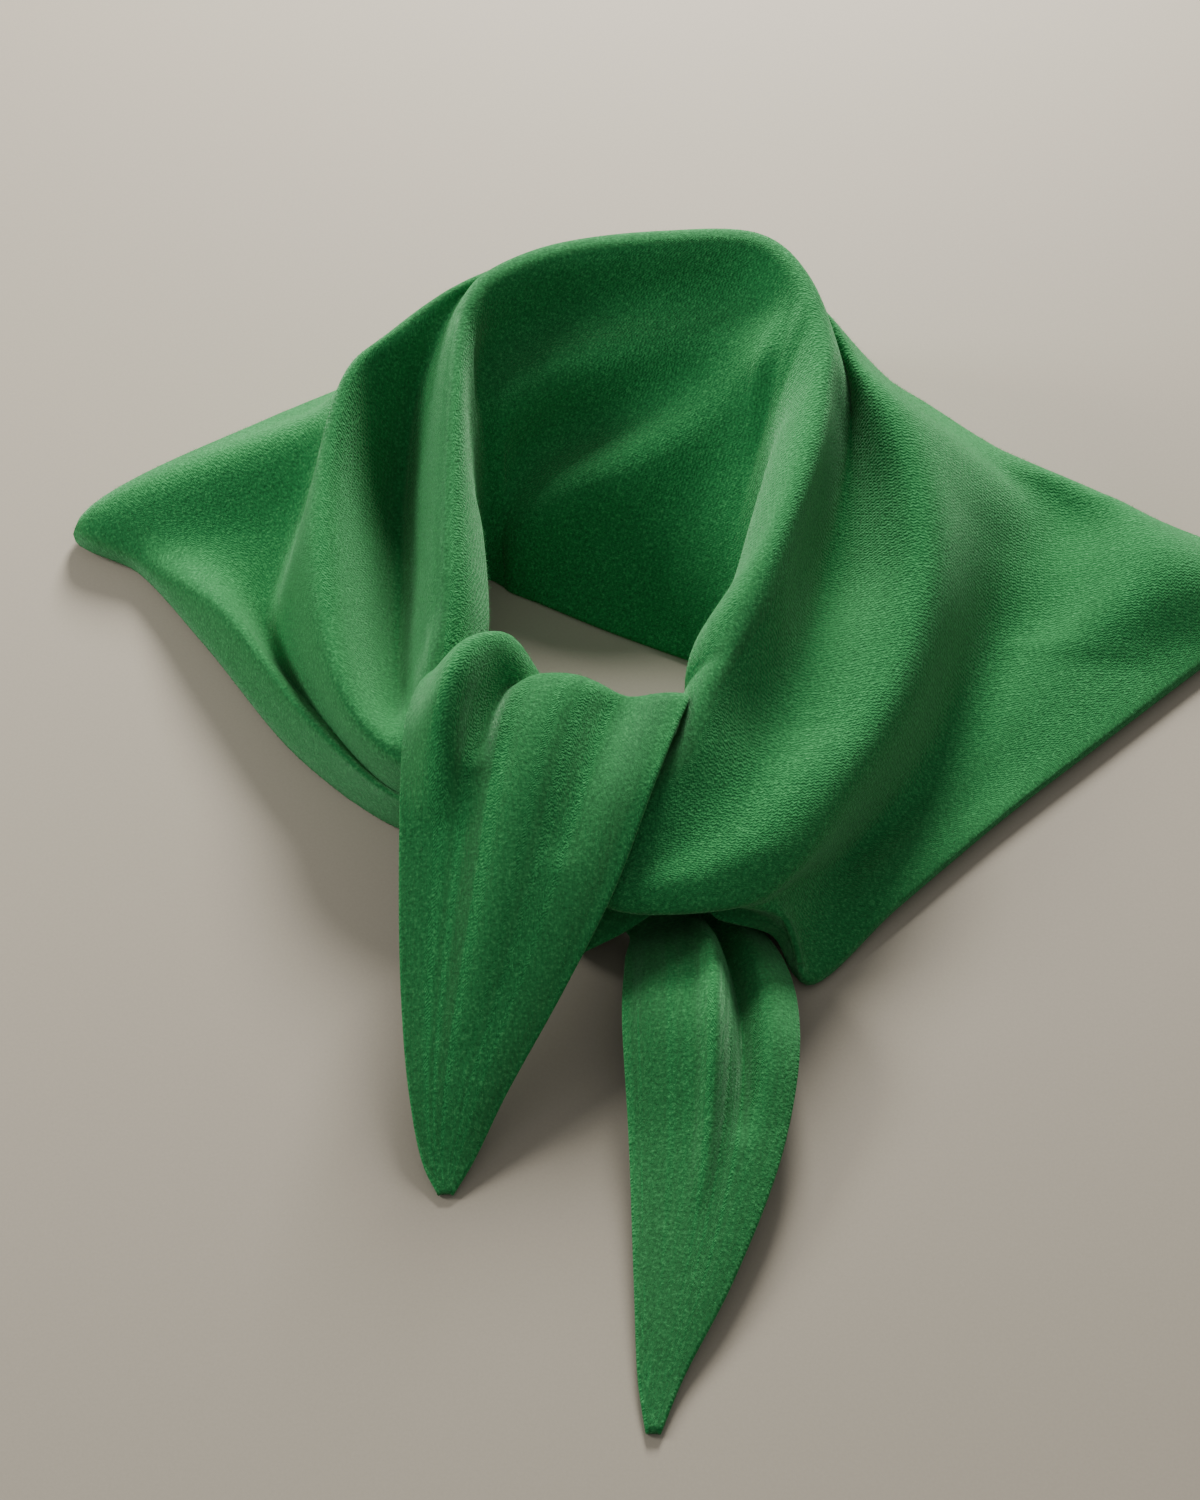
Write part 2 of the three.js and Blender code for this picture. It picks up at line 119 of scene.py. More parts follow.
FOOT = np.array([
    [0, -0.25, -0.032, 0.36], [1, -0.25, 0.12, 0.15], [2, -0.265, 0.304, 0.02],
    [3, -0.275, 0.384, 0], [4, -0.27, 0.404, 0], [5, -0.24, 0.4, 0], [6, -0.2, 0.376, 0],
    [7, -0.125, 0.34, 0], [8, 0, 0.284, 0], [9, 0.12, 0.236, 0], [10, 0.21, 0.2, 0],
    [11, 0.26, 0.168, 0], [12, 0.285, 0.136, 0], [13, 0.295, 0.096, 0], [14, 0.285, 0.04, 0],
    [15, 0.205, -0.016, 0.04], [16, 0.17, -0.088, 0.125], [17, 0.15, -0.144, 0.27],
    [18, 0.08, -0.184, 0.345], [19, 0, -0.216, 0.395], [20, -0.09, -0.24, 0.42],
])
HEM = np.array([
    [0, -0.262, -0.143, 0.052], [1, -0.399, -0.024, 0.052], [2, -0.547, 0.185, 0.052],
    [3, -0.65, 0.318, 0.052], [4, -0.745, 0.393, 0.073], [5, -0.568, 0.559, 0.042],
    [6, -0.36, 0.681, 0.045], [7, -0.156, 0.756, 0.045], [8, 0.062, 0.8, 0.045],
    [9, 0.275, 0.781, 0.045], [10, 0.444, 0.685, 0.042], [11, 0.596, 0.544, 0.042],
    [12, 0.785, 0.418, 0.042], [13, 0.976, 0.283, 0.052], [14, 0.828, 0.152, 0.052],
    [15, 0.672, 0.008, 0.052], [16, 0.526, -0.126, 0.052], [17, 0.379, -0.272, 0.052],
    [18, 0.258, -0.392, 0.047], [18.5, 0.237, -0.339, 0.177], [19, 0.156, -0.312, 0.27],
    [20, 0.131, -0.281, 0.29],
])
ring_scale = np.array([LOOP_WIDTH, LOOP_LENGTH, COLLAR_HEIGHT])
hem_scale = np.array([SKIRT_REACH, SKIRT_REACH, COLLAR_HEIGHT])
STATIONS = CREST[:, 0]
print("stations round the ring:", len(STATIONS))

# %% [markdown]
# The other rails lie between two of those. A row gives the station, the share of the way from the
# inner rail to the outer one, and a height of its own, which is how a hollow sinks and a roll
# rises.

# %% Rails that lie between others
# Columns: station, way, and z as a share of COLLAR_HEIGHT.
LEAN = np.array([
    [0, 0, 0.46], [2, 0, 0.29], [3, 0.05, 0.29], [4, 0.2, 0.33], [6, 0.3, 0.355], [10, 0.3, 0.355],
    [12, 0.3, 0.375], [13, 0.25, 0.375], [14, 0.15, 0.355], [15, 0.05, 0.355], [16, 0, 0.395],
    [18, 0.1, 0.44], [20, 0.25, 0.44],
])
TUCK = np.array([
    [0, 0, 0.56], [2, 0, 0.625], [3, 0.15, 0.645], [4, 0.45, 0.665], [6, 0.65, 0.69],
    [8, 0.7, 0.69], [10, 0.7, 0.71], [12, 0.65, 0.71], [13, 0.55, 0.71], [14, 0.35, 0.69],
    [15, 0.15, 0.665], [16, 0.05, 0.61], [18, 0.4, 0.53], [20, 0.6, 0.49],
])
DIP = np.array([
    [0, 0.5, 0.5], [1, 0.445, 0.285], [2, 0.385, 0.195], [3, 0.425, 0.29], [4, 0.425, 0.545],
    [5, 0.4, 0.805], [6, 0.5, 0.925], [7, 0.5, 0.94], [8, 0.5, 0.915], [9, 0.5, 0.905],
    [10, 0.55, 0.835], [11, 0.655, 0.72], [12, 0.37, 0.58], [13, 0.265, 0.495], [14, 0.255, 0.44],
    [15, 0.3, 0.5], [16, 0.38, 0.52], [17, 0.45, 0.53], [18, 0.5, 0.51], [19, 0.5, 0.48],
    [20, 0.5, 0.46],
])
HOLLOW = np.array([
    [0, 0.3, 0.21], [1, 0.32, 0.24], [2, 0.46, 0.07], [3, 0.185, 0.24], [4, 0.125, 0.465],
    [5, 0.35, 0.375], [6, 0.5, 0.415], [7, 0.5, 0.435], [8, 0.5, 0.415], [9, 0.5, 0.415],
    [10, 0.45, 0.42], [11, 0.45, 0.4], [12, 0.5, 0.23], [13, 0.25, 0.21], [14, 0.22, 0.145],
    [15, 0.22, 0.125], [16, 0.22, 0.105], [17, 0.1, 0.085], [18, 0, 0.26], [18.5, 0.3, 0.33],
    [19, 0.35, 0.35], [20, 0.4, 0.35],
])
ROLL = np.array([
    [0, 0.945, 0.23], [1, 0.74, 0.265], [2, 0.81, 0.25], [3, 0.88, 0.15], [4, 0.85, 0.225],
    [5, 0.72, 0.225], [6, 0.8, 0.17], [7, 0.8, 0.15], [8, 0.8, 0.14], [9, 0.8, 0.14],
    [10, 0.8, 0.17], [11, 0.8, 0.18], [12, 0.85, 0.145], [13, 0.6, 0.19], [14, 0.55, 0.125],
    [15, 0.6, 0.085], [16, 0.6, 0.05], [17, 0.6, 0.07], [18, 0.75, 0.1], [18.5, 0.85, 0.24],
    [19, 0.75, 0.31], [20, 0.8, 0.33],
])
print("rails between others:", len((LEAN, TUCK, DIP, HOLLOW, ROLL)))

# %% [markdown]
# ## The tails and the knot
# Past the ring the cloth narrows to a band. On the lower side it passes under the knot and comes
# out as a tail. On the upper side it wraps under the left band, comes up through the loop and
# falls over the front as the second tail. A knot of crossing tubes would be quicker, but it would
# hide that all this is one sheet. A band needs only its two edges, so a row gives the neck edge,
# the hem edge and how far the middle bulges.

# %% Bands
# Columns: station, neck edge x, out and z, hem edge x, out and z, bulge. x is a share of
# LOOP_WIDTH, out of the tail's own length, z of COLLAR_HEIGHT and bulge of FOLD_DEPTH.
LOWER = np.array([
    [-9, 0.102, 0.993, 0.012, 0.086, 0.993, 0.012, 0],
    [-8, 0.145, 0.893, 0.031, 0.073, 0.902, 0.031, 0.05],
    [-7, 0.241, 0.717, 0.083, 0.067, 0.734, 0.073, 0.2],
    [-6, 0.344, 0.462, 0.146, 0.059, 0.451, 0.135, 0.4],
    [-5, 0.382, 0.231, 0.208, 0.047, 0.204, 0.229, 0.7],
    [-4, 0.358, 0.028, 0.083, 0.054, 0.061, 0.156, 0.8],
    [-3, 0.276, -0.104, 0.042, 0.057, -0.026, 0.104, 0.2],
    [-2, 0.07, -0.254, 0.19, -0.12, -0.066, 0.19, 0.2],
    [-1, -0.14, -0.404, 0.42, -0.32, -0.207, 0.29, 0.3],
])
UPPER = np.array([
    [21, -0.21, 0.2, 0.44, 0.04, 0.44, 0.21, 0.8],
    [22, -0.29, 0.295, 0.26, -0.05, 0.47, 0.14, 0.5],
    [23, -0.26, 0.25, 0.055, -0.04, 0.43, 0.03, 0], [24, -0.2, 0.14, 0.025, 0.04, 0.31, 0.025, 0],
    [25, -0.18, 0.03, 0.03, 0.11, 0.14, 0.03, 0],
    [26, -0.161, -0.069, 0.208, 0.096, -0.031, 0.208, 0],
    [27, -0.203, -0.058, 0.542, 0.129, -0.015, 0.542, 0.1],
    [27.5, -0.267, -0.061, 0.667, 0.155, 0.007, 0.646, 0.1],
    [28, -0.343, -0.021, 0.708, 0.174, 0.023, 0.698, 0.2],
    [29, -0.382, 0.067, 0.688, 0.153, 0.092, 0.708, 0.3],
    [30, -0.394, 0.218, 0.594, 0.103, 0.236, 0.677, 0.3],
    [31, -0.393, 0.427, 0.438, 0.022, 0.438, 0.5, 0.4],
    [32, -0.384, 0.625, 0.281, -0.08, 0.623, 0.312, 0.4],
    [33, -0.364, 0.807, 0.146, -0.187, 0.808, 0.156, 0.3],
    [34, -0.335, 0.933, 0.042, -0.25, 0.932, 0.052, 0.1],
    [35, -0.305, 0.991, 0.012, -0.286, 0.991, 0.012, 0],
])
print("stations of the bands:", len(LOWER), "and", len(UPPER))

# %% [markdown]
# ## One curve for everything
# A cubic through the rows joins them without corners. Each piece of it is a blend of its two ends
# and the slopes there, and it works on whole arrays: the values may be numbers, points or whole
# ribs. A curve object would do as well, but a formula can be read at any place without one.

# %% A smooth curve through rows
def through(places, values, at):
    """Cubic through (place, value) rows: (1 + 2t)s^2 a + t s^2 g p + t^2(3 - 2t) b - t^2 s g q.

    t is the share of the way between two rows, s is 1 - t, g the gap between their places, a and b
    their values, and p and q the slopes there, each the mean of its two sides weighted by the
    opposite gap.
    """
    places = np.asarray(places, float)
    values = np.asarray(values, float)
    shape = (-1,) + (1,) * (values.ndim - 1)
    gaps = np.diff(places)
    slopes = np.diff(values, axis=0) / gaps.reshape(shape)
    before, after = gaps[:-1].reshape(shape), gaps[1:].reshape(shape)
    inner = (slopes[:-1] * after + slopes[1:] * before) / (before + after)
    tangents = np.concatenate([slopes[:1], inner, slopes[-1:]])
    i = np.clip(np.searchsorted(places, at, side="right") - 1, 0, len(places) - 2)
    t = ((at - places[i]) / gaps[i]).reshape(shape)
    s = 1 - t
    g = gaps[i].reshape(shape)
    return (
        (1 + 2 * t) * s**2 * values[i]
        + t * s**2 * g * tangents[i]
        + t**2 * (3 - 2 * t) * values[i + 1]
        - t**2 * s * g * tangents[i + 1]
    )


print("a straight line stays straight:", through([0, 1, 2], [0, 1, 2], np.array([0.5, 1.5])))

# %% [markdown]
# ## Ribs
# Now each station becomes a rib of ten points. On the ring they are the rails read at that
# station. On a band they are spread evenly from edge to edge, and lifted in the middle by the
# bulge. All ribs have the same number of points, so the whole scarf is one array, and one grid
# comes of it.

# %% The ring's ribs
def placed(rows, scale):
    """A rail's points at every station, in metres: its x, y and z there times the scale."""
    return through(rows[:, 0], rows[:, 1:], STATIONS) * scale


def between(inner, outer, rows):
    """Points inner + way (outer - inner) in plan, with the height from the rows."""
    way, height = through(rows[:, 0], rows[:, 1:], STATIONS).T
    points = inner + (outer - inner) * way[:, None]
    points[:, 2] = height * COLLAR_HEIGHT
    return points


crest, pleat, foot = (placed(rows, ring_scale) for rows in (CREST, PLEAT, FOOT))
hem = placed(HEM, hem_scale)
inward = (pleat - hem) * [1, 1, 0]
inward_length = np.linalg.norm(inward, axis=1, keepdims=True)
lip = hem + HEM_LIP * inward / inward_length - [0, 0, HEM_CURL]
ring_ribs = np.stack([
    foot,
    between(foot, crest, LEAN),
    between(foot, crest, TUCK),
    crest,
    between(crest, pleat, DIP),
    pleat,
    between(pleat, hem, HOLLOW),
    between(pleat, hem, ROLL),
    hem,
    lip,
], axis=1)
RAILS = ring_ribs.shape[1]
print("ring:", ring_ribs.shape)


# %% The bands' ribs
def band_ribs(rows, length, start):
    """Edge to edge at even steps, plus bulge times 4w(1 - w) along heading x across."""
    neck, other = rows[:, 1:4] * 1, rows[:, 4:7] * 1
    for edge in (neck, other):
        edge[:, 0] *= LOOP_WIDTH
        edge[:, 1] = start - edge[:, 1] * length
        edge[:, 2] *= COLLAR_HEIGHT
    centre = (neck + other) / 2
    heading = np.concatenate([
        centre[1:2] - centre[:1],
        centre[2:] - centre[:-2],
        centre[-1:] - centre[-2:-1],
    ])
    outward = np.cross(heading, other - neck)
    outward /= np.linalg.norm(outward, axis=1, keepdims=True)
    way = np.linspace(0, 1, RAILS)[None, :, None]
    lift = rows[:, 7, None, None] * FOLD_DEPTH * 4 * way * (1 - way)
    return neck[:, None] * (1 - way) + other[:, None] * way + outward[:, None] * lift


ribs = np.concatenate([
    band_ribs(LOWER, LOWER_TAIL_LENGTH, -KNOT_FRONT),
    ring_ribs,
    band_ribs(UPPER, UPPER_TAIL_LENGTH, -KNOT_TOP),
])
rib_stations = np.concatenate([LOWER[:, 0], STATIONS, UPPER[:, 0]])
print("ribs from tip to tip:", len(ribs))

# %% [markdown]
# ## The middle of the cloth
# The ribs are joined along the cloth, then each row is drawn across its ten rails. The ribs are
# not evenly spaced, so each takes a place along the cloth from its distance to the one before. The
# two gaps inside the collar get more steps than the rest, because the finest creases lie there.

# %% A fine grid through the ribs
STEPS_ALONG = 480
FINE = 3
STEPS_ACROSS = np.array([3, 4, 4, 3, 3, 3, 3, 3, 3]) * FINE
spans = np.sqrt(np.linalg.norm(np.diff(ribs, axis=0), axis=2).mean(axis=1))
rib_places = np.concatenate([[0], np.cumsum(spans)])
along = np.linspace(0, rib_places[-1], STEPS_ALONG + 1)
station = through(rib_places, rib_stations, along)
rail = np.concatenate([k + np.arange(n) / n for k, n in enumerate(STEPS_ACROSS)] + [[RAILS - 1]])
coarse = through(rib_places, ribs, along)
middle = through(np.arange(RAILS), coarse.swapaxes(0, 1), rail).swapaxes(0, 1)
print("grid:", middle.shape)


# %% Which way the cloth faces
def upward(points):
    """Unit normals of a grid: the step along it crossed with the step across it."""
    face = np.cross(np.gradient(points, axis=0), np.gradient(points, axis=1))
    return face / np.linalg.norm(face, axis=2, keepdims=True)


print("normals:", upward(middle).shape)

# %% [markdown]
# ## Small folds
# Creases and soft pleats run across the rails, so they get a table of their own. Each is a smooth
# ridge, or a groove where its height is negative, that follows a line over the grid and fades out
# at both ends. They could be painted on as a bump, but these ones cast shadows. Then the cloth is
# lifted clear of the table and centred over the solid.

# %% Small folds
# Columns: from station, its rail, to station, its rail, width in rails, height over FOLD_DEPTH.
FOLDS = np.array([
    [4.5, 2.85, 10.6, 2.95, 0.35, 0.4], [4.5, 2.25, 10.3, 2.5, 0.35, -1.1],
    [5, 1.65, 10.3, 2.35, 0.4, 0.9], [5.8, 1.1, 9.8, 2.05, 0.35, -1.3],
    [5.8, 0.3, 10.5, 2.4, 0.4, 1.1], [10.2, 1.95, 15.6, 2.1, 0.7, 1.3],
    [11.6, 6.3, 14, 6.6, 0.4, -0.5], [11.8, 6.9, 14.2, 7.3, 0.35, 0.6],
    [16.2, 4.5, 20.6, 4.4, 0.35, 0.3], [26.6, 1.4, 30.4, 1.4, 1, 2],
    [26.8, 2.8, 29.8, 2.6, 0.45, -0.7], [27, 4.6, 32.6, 4, 1.2, 0.4],
    [26.8, 7, 30.8, 6.6, 1.1, -0.6], [-6.5, 4.4, -3, 4.3, 0.6, 0.5],
    [-6, 2.6, -2.8, 2.8, 0.9, -1.2],
])


def fold_heights(table):
    """Sum of height * sin(pi w)^FOLD_END * exp(-((rail - line) / width)^2), w the way along it."""
    total = np.zeros((len(station), len(rail)))
    for start, rail_from, end, rail_to, width, height in table:
        way = ((station - start) / (end - start))[:, None]
        line = rail_from + (rail_to - rail_from) * way
        inside = (way > 0) & (way < 1)
        fade = np.sin(np.pi * np.clip(way, 0, 1)) ** FOLD_END
        ridge = np.exp(-(((rail[None] - line) / width) ** 2))
        total += inside * height * FOLD_DEPTH * fade * ridge
    return total


middle += upward(middle) * fold_heights(FOLDS)[:, :, None]
normal = upward(middle)
middle[:, :, 2] = np.maximum(middle[:, :, 2], WALL / 2 * np.abs(normal[:, :, 2]))
low, high = middle.min(axis=(0, 1)), middle.max(axis=(0, 1))
middle[:, :, :2] -= ((low + high) / 2)[:2] - solid_box.mean(axis=0)[:2]
print("cloth spreads", (high - low).round(3), "m")

# %% [markdown]
# ## Where the knit runs
# Knitting has a direction: its columns of stitches, the wales, run along this scarf's long edge.
# So the cloth gets a flat map, in metres, with v the distance from the neck edge and u the
# distance along the wales. An unwrap would make a map too, but not one whose lines keep to the
# neck edge. A pattern drawn on this one keeps its true size over every fold.

# %% The flat map
across_step = np.linalg.norm(np.diff(middle, axis=1), axis=2)
flat_v = np.concatenate([np.zeros((len(middle), 1)), np.cumsum(across_step, axis=1)], axis=1)
across = np.gradient(middle, axis=1)
across /= np.linalg.norm(across, axis=2, keepdims=True)
step = np.diff(middle, axis=0)
slide = (step * (across[1:] + across[:-1]) / 2).sum(axis=2)
along_step = np.sqrt(np.maximum((step**2).sum(axis=2) - slide**2, 0))
flat_u = np.concatenate([np.zeros((1, len(rail))), np.cumsum(along_step, axis=0)])
flat_u -= flat_u[len(flat_u) // 2]
print("neck edge", round(float(np.linalg.norm(step[:, 0], axis=1).sum()), 3), "m")

# %% [markdown]
# ## From a sheet to a cloth with thickness
# Milled wool is thick enough to show its edge, and that edge is round. So the section across the
# cloth is a closed loop: over the upper face, round the rim, back under the lower face and round
# the other rim. Solidify would leave square rims, and a bevel on them would cost more than this
# does. What comes within a hair of the table is pressed flat on it.

# %% The rims and the loop round each section
RIM_ANGLES = np.radians([30, 60, 90, 120, 150])
RIM_POINTS = len(RIM_ANGLES)


def rim(edge, face, out):
    """Points edge + r(cos a face + sin a out) for the rim's angles a, with r half the wall."""
    cosines, sines = (wave(RIM_ANGLES)[None, :, None] for wave in (np.cos, np.sin))
    return edge[:, None] + WALL / 2 * (cosines * face[:, None] + sines * out[:, None])


def closed_cloth(centre, face):
    """Round each section: centre + face WALL / 2, the hem's rim, centre - face WALL / 2, a rim."""
    side = np.cross(face, np.gradient(centre, axis=0))
    side /= np.linalg.norm(side, axis=2, keepdims=True)
    sign = np.sign((side[:, 1:-1] * across[:, 1:-1]).sum(axis=2).mean())
    hem_rim = rim(centre[:, -1], face[:, -1], sign * side[:, -1])
    neck_rim = rim(centre[:, 0], -face[:, 0], -sign * side[:, 0])
    upper = centre + face * WALL / 2
    lower = (centre - face * WALL / 2)[:, ::-1]
    section = np.concatenate([upper, hem_rim, lower, neck_rim], axis=1)
    section[:, :, 2] = np.where(section[:, :, 2] < PRESSED, 0, section[:, :, 2])
    return section


def round_the_loop(values):
    """A value of the sheet in the order of the loop: the rims repeat the value of their edge."""
    hem_side = np.repeat(values[:, -1:], RIM_POINTS, axis=1)
    neck_side = np.repeat(values[:, :1], RIM_POINTS, axis=1)
    return np.concatenate([values, hem_side, values[:, ::-1], neck_side], axis=1)


loop = closed_cloth(middle, normal)
print("sections:", loop.shape[0], "of", loop.shape[1], "points")


# %% From arrays to a mesh
def loop_faces(loops, points):
    """Quads between neighbouring loops, and each end closed by quads from face to face."""
    i, j = np.meshgrid(np.arange(loops - 1) * points, np.arange(points), indexing="ij")
    k = (j + 1) % points
    sides = np.stack([i + j, i + points + j, i + points + k, i + k], -1).reshape(-1, 4).tolist()
    first = -(RIM_POINTS // 2 + 1)
    near = np.arange(first, first + points // 2 + 1)
    near, far = near % points, (2 * first - near) % points
    closed = [[near[0], near[1], far[1]], [near[-2], near[-1], far[-2]]]
    closed += np.stack([near[1:-2], near[2:-1], far[2:-1], far[1:-2]], -1).tolist()
    last = (loops - 1) * points
    return sides + closed + [[int(v) + last for v in face[::-1]] for face in closed]


def new_mesh(name, vertices, faces, uv=None):
    """A smooth mesh object from arrays, at the origin."""
    mesh = bpy.data.meshes.new(name)
    mesh.from_pydata(vertices.reshape(-1, 3).tolist(), [], faces)
    if uv is not None:
        corner = np.empty(len(mesh.loops), np.int32)
        mesh.loops.foreach_get("vertex_index", corner)
        layer = mesh.uv_layers.new(name="flat_cloth")
        layer.data.foreach_set("uv", uv.reshape(-1, 2)[corner].astype(np.float32).ravel())
    mesh.polygons.foreach_set("use_smooth", np.ones(len(mesh.polygons), bool))
    mesh.validate()
    made = bpy.data.objects.new(name, mesh)
    bpy.context.scene.collection.objects.link(made)
    return made


flat_map = np.stack([round_the_loop(flat_u), round_the_loop(flat_v)], -1)
scarf = new_mesh("scarf_knit", loop, loop_faces(*loop.shape[:2]), flat_map)
print("scarf:", len(scarf.data.vertices), "vertices,", len(scarf.data.polygons), "faces")

# %% [markdown]
# ## Shader sums as plain expressions
# A knit is a formula, and a formula is easier to read as Python than as a drawing of nodes. A
# small class wraps a socket, so that a sum of two of them adds the Math node that works it out.
# All other nodes come from one method of the finish that they belong to.

# %% Shader helpers
class Signal:
    """One output of a node, which can be used in sums: each sum adds its Math node."""

    def __init__(self, finish, socket):
        self.finish = finish
        self.socket = socket

    def math(self, operation, *others, clamp=False):
        """A Math node of this value and the others, kept between 0 and 1 where clamp is set."""
        settings = {"operation": operation, "use_clamp": clamp}
        return self.finish.node("ShaderNodeMath", settings, dict(enumerate((self, *others))))

    def __add__(self, other):
        return self.math("ADD", other)

    __radd__ = __add__

    def __mul__(self, other):
        return self.math("MULTIPLY", other)

    __rmul__ = __mul__

    def __sub__(self, other):
        return self.math("SUBTRACT", other)

    def __rsub__(self, other):
        return (self * -1) + other

    def __truediv__(self, other):
        return self.math("DIVIDE", other)

    def __pow__(self, other):
        return self.math("POWER", other)

    def __abs__(self):
        return self.math("ABSOLUTE")

    def fraction(self):
        return self.math("FRACT")

    def cosine(self):
        return self.math("COSINE")

    def limited(self):
        return self.math("ADD", 0.0, clamp=True)


class Finish:
    """A material, and the one way to add a node to it."""

    def __init__(self, name):
        self.material = bpy.data.materials.new(name)
        self.material.use_nodes = True
        self.tree = self.material.node_tree
        self.tree.nodes.clear()

    def node(self, kind, settings, sockets, output=0):
        """A node of this kind: its settings first, then a value or a link for each socket."""
        made = self.tree.nodes.new(kind)
        for name, value in settings.items():
            setattr(made, name, value)
        for name, value in sockets.items():
            place = made.inputs[name]
            if isinstance(value, Signal):
                self.tree.links.new(value.socket, place)
            else:
                place.default_value = value
        return Signal(self, made.outputs[output])

    def noise(self, scale, detail):
        """Noise from 0 to 1 on Object coordinates, with this many grains a metre."""
        place = self.node("ShaderNodeTexCoord", {}, {}, "Object")
        sockets = {"Vector": place, "Scale": scale, "Detail": detail}
        return self.node("ShaderNodeTexNoise", {}, sockets)

    def mix_colour(self, factor, first, second):
        """The first colour where the factor is 0 and the second where it is 1.

        A Mix node has sockets for every kind of value. Those for colours are 6, 7 and output 2.
        """
        sockets = {0: factor, 6: first, 7: second}
        return self.node("ShaderNodeMix", {"data_type": "RGBA"}, sockets, 2)

    def surface(self, sockets):
        """The Principled shader with these sockets, joined to the material's output."""
        shader = self.node("ShaderNodeBsdfPrincipled", {}, sockets)
        out = self.tree.nodes.new("ShaderNodeOutputMaterial")
        self.tree.links.new(shader.socket, out.inputs["Surface"])


print("helpers:", Signal.__name__, "and", Finish.__name__)

# %% [markdown]
# ## Milled wool
# Under its nap the scarf is plain stocking stitch: columns of small Vs. Milling has felted them,
# so they show as soft grains more than as Vs. The finish is a height of three layers, which are
# faint Vs, felted pebbles and fine fibres. The same three colour the green: pebbles and fibres
# vary its tone at random, and the Vs darken it in the grooves between them, which is painted
# shade. Paler flecks and a slow drift lie on top. The Vs could be modelled, but there are tens of
# thousands, each two millimetres wide. Sheen then gives the pale rim that wool shows where it
# turns away from the eye.

# %% The greens and the size of a stitch
GREEN = (0.033, 0.255, 0.075, 1)
# The dark end of the mix: painted shade in the grooves between the Vs, dark grains elsewhere.
DEEP_GREEN = (0.012, 0.125, 0.035, 1)
PALE_GREEN = (0.085, 0.4, 0.145, 1)
SHEEN_GREEN = (0.42, 0.85, 0.5, 1)
WALE = 2.15 * MM
COURSE = 1.6 * MM
V_RISE = 0.55  # how far a V's arms rise from its foot, in courses
WALE_WANDER = 1.6
COURSE_WANDER = 2.2
RELIEF = 0.9 * MM
print("stitches to a hand's width of 80 mm:", round(80 * MM / WALE), "by", round(80 * MM / COURSE))

# %% How much each layer tells
# Columns: grains a metre, detail of the noise.
WANDER_NOISE = (130.0, 2.0)
PEBBLE_NOISE = (760.0, 1.0)
FIBRE_NOISE = (1300.0, 2.0)
DRIFT_NOISE = (14.0, 3.0)
STITCH_HEIGHT, PEBBLE_HEIGHT, FIBRE_HEIGHT = 0.5, 0.9, 0.35
# The stitch weight darkens the green in the grooves between the Vs, which is painted shade; the
# pebble and fibre weights vary the tone at random.
STITCH_PAINTED_SHADE, PEBBLE_SHADE, FIBRE_SHADE = 0.45, 1.7, 0.9
MIDDLE_SHADE = 0.4
FLECK_START, FLECK_SLOPE, FLECK_SHARE = 0.84, 5, 0.35
DRIFT_SHARE = 0.2
print("grains in mm:", [round(1 / n[0] / MM, 2) for n in (PEBBLE_NOISE, FIBRE_NOISE)])


# %% The knit
def knit_stitch(finish):
    """leg (1 - side^4)(1 + side) / 2, with side 0 down the middle of a wale and 1 at its edges.

    leg is a cosine wave of one period a course along the wale. It is shifted by V_RISE times side,
    which bends it into a V, and by noise, as milling leaves no two stitches alike.
    """
    flat = finish.node("ShaderNodeUVMap", {"uv_map": "flat_cloth"}, {})
    u = finish.node("ShaderNodeSeparateXYZ", {}, {"Vector": flat}, "X")
    v = finish.node("ShaderNodeSeparateXYZ", {}, {"Vector": flat}, "Y")
    wander = finish.noise(*WANDER_NOISE) - 0.5
    side = abs((v / WALE + wander * WALE_WANDER).fraction() - 0.5) * 2
    course = u / COURSE + side * V_RISE + wander * COURSE_WANDER
    leg = (course * (2 * math.pi)).cosine() * 0.5 + 0.5
    return leg * (1 - side**4) * (0.5 + 0.5 * side)


def wool_knit():
    """Height and colour are sums of stitch, pebbles and fibres, and flecks lie where grains peak.

    The stitch darkens the colour in the grooves between the Vs, which is painted shade.
    """
    finish = Finish("milled_green_knit")
    stitch = knit_stitch(finish)
    pebbles = finish.noise(*PEBBLE_NOISE)
    fibres = finish.noise(*FIBRE_NOISE)
    drift = finish.noise(*DRIFT_NOISE) - 0.5
    height = stitch * STITCH_HEIGHT + pebbles * PEBBLE_HEIGHT + fibres * FIBRE_HEIGHT
    grain = (pebbles - 0.5) * PEBBLE_SHADE + (fibres - 0.5) * FIBRE_SHADE
    # The stitch term darkens the grooves between the Vs, which is painted shade; the grain is
    # random tone.
    tone_and_painted_shade = (stitch * STITCH_PAINTED_SHADE + grain + MIDDLE_SHADE).limited()
    body = finish.mix_colour(tone_and_painted_shade, DEEP_GREEN, GREEN)
    flecks = ((pebbles + fibres * 0.5 - FLECK_START) * FLECK_SLOPE).limited() * FLECK_SHARE
    paler = (flecks + drift * DRIFT_SHARE).limited()
    sockets = {"Height": height, "Strength": 0.6, "Distance": RELIEF}
    finish.surface({
        "Base Color": finish.mix_colour(paler, body, PALE_GREEN),
        "Normal": finish.node("ShaderNodeBump", {}, sockets),
        "Roughness": 0.95,
        "Specular IOR Level": 0.12,
        "Sheen Weight": 0.35,
        "Sheen Roughness": 0.4,
        "Sheen Tint": SHEEN_GREEN,
    })
    return finish.material


scarf.data.materials.append(wool_knit())
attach(scarf, "root")
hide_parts("scarf_cloth")
print("materials:", [m.name for m in scarf.data.materials])

# %% [markdown]
# ## The nap
# Milling raises a haze of loose fibres, which softens every edge of the scarf against the table. A
# hair system would give it too, but an export keeps only meshes. So each fibre is a thin closed
# spike that leans over the cloth. They are thrown over the sheet at random, with chances in
# proportion to area, so the haze is even over wide and narrow parts.

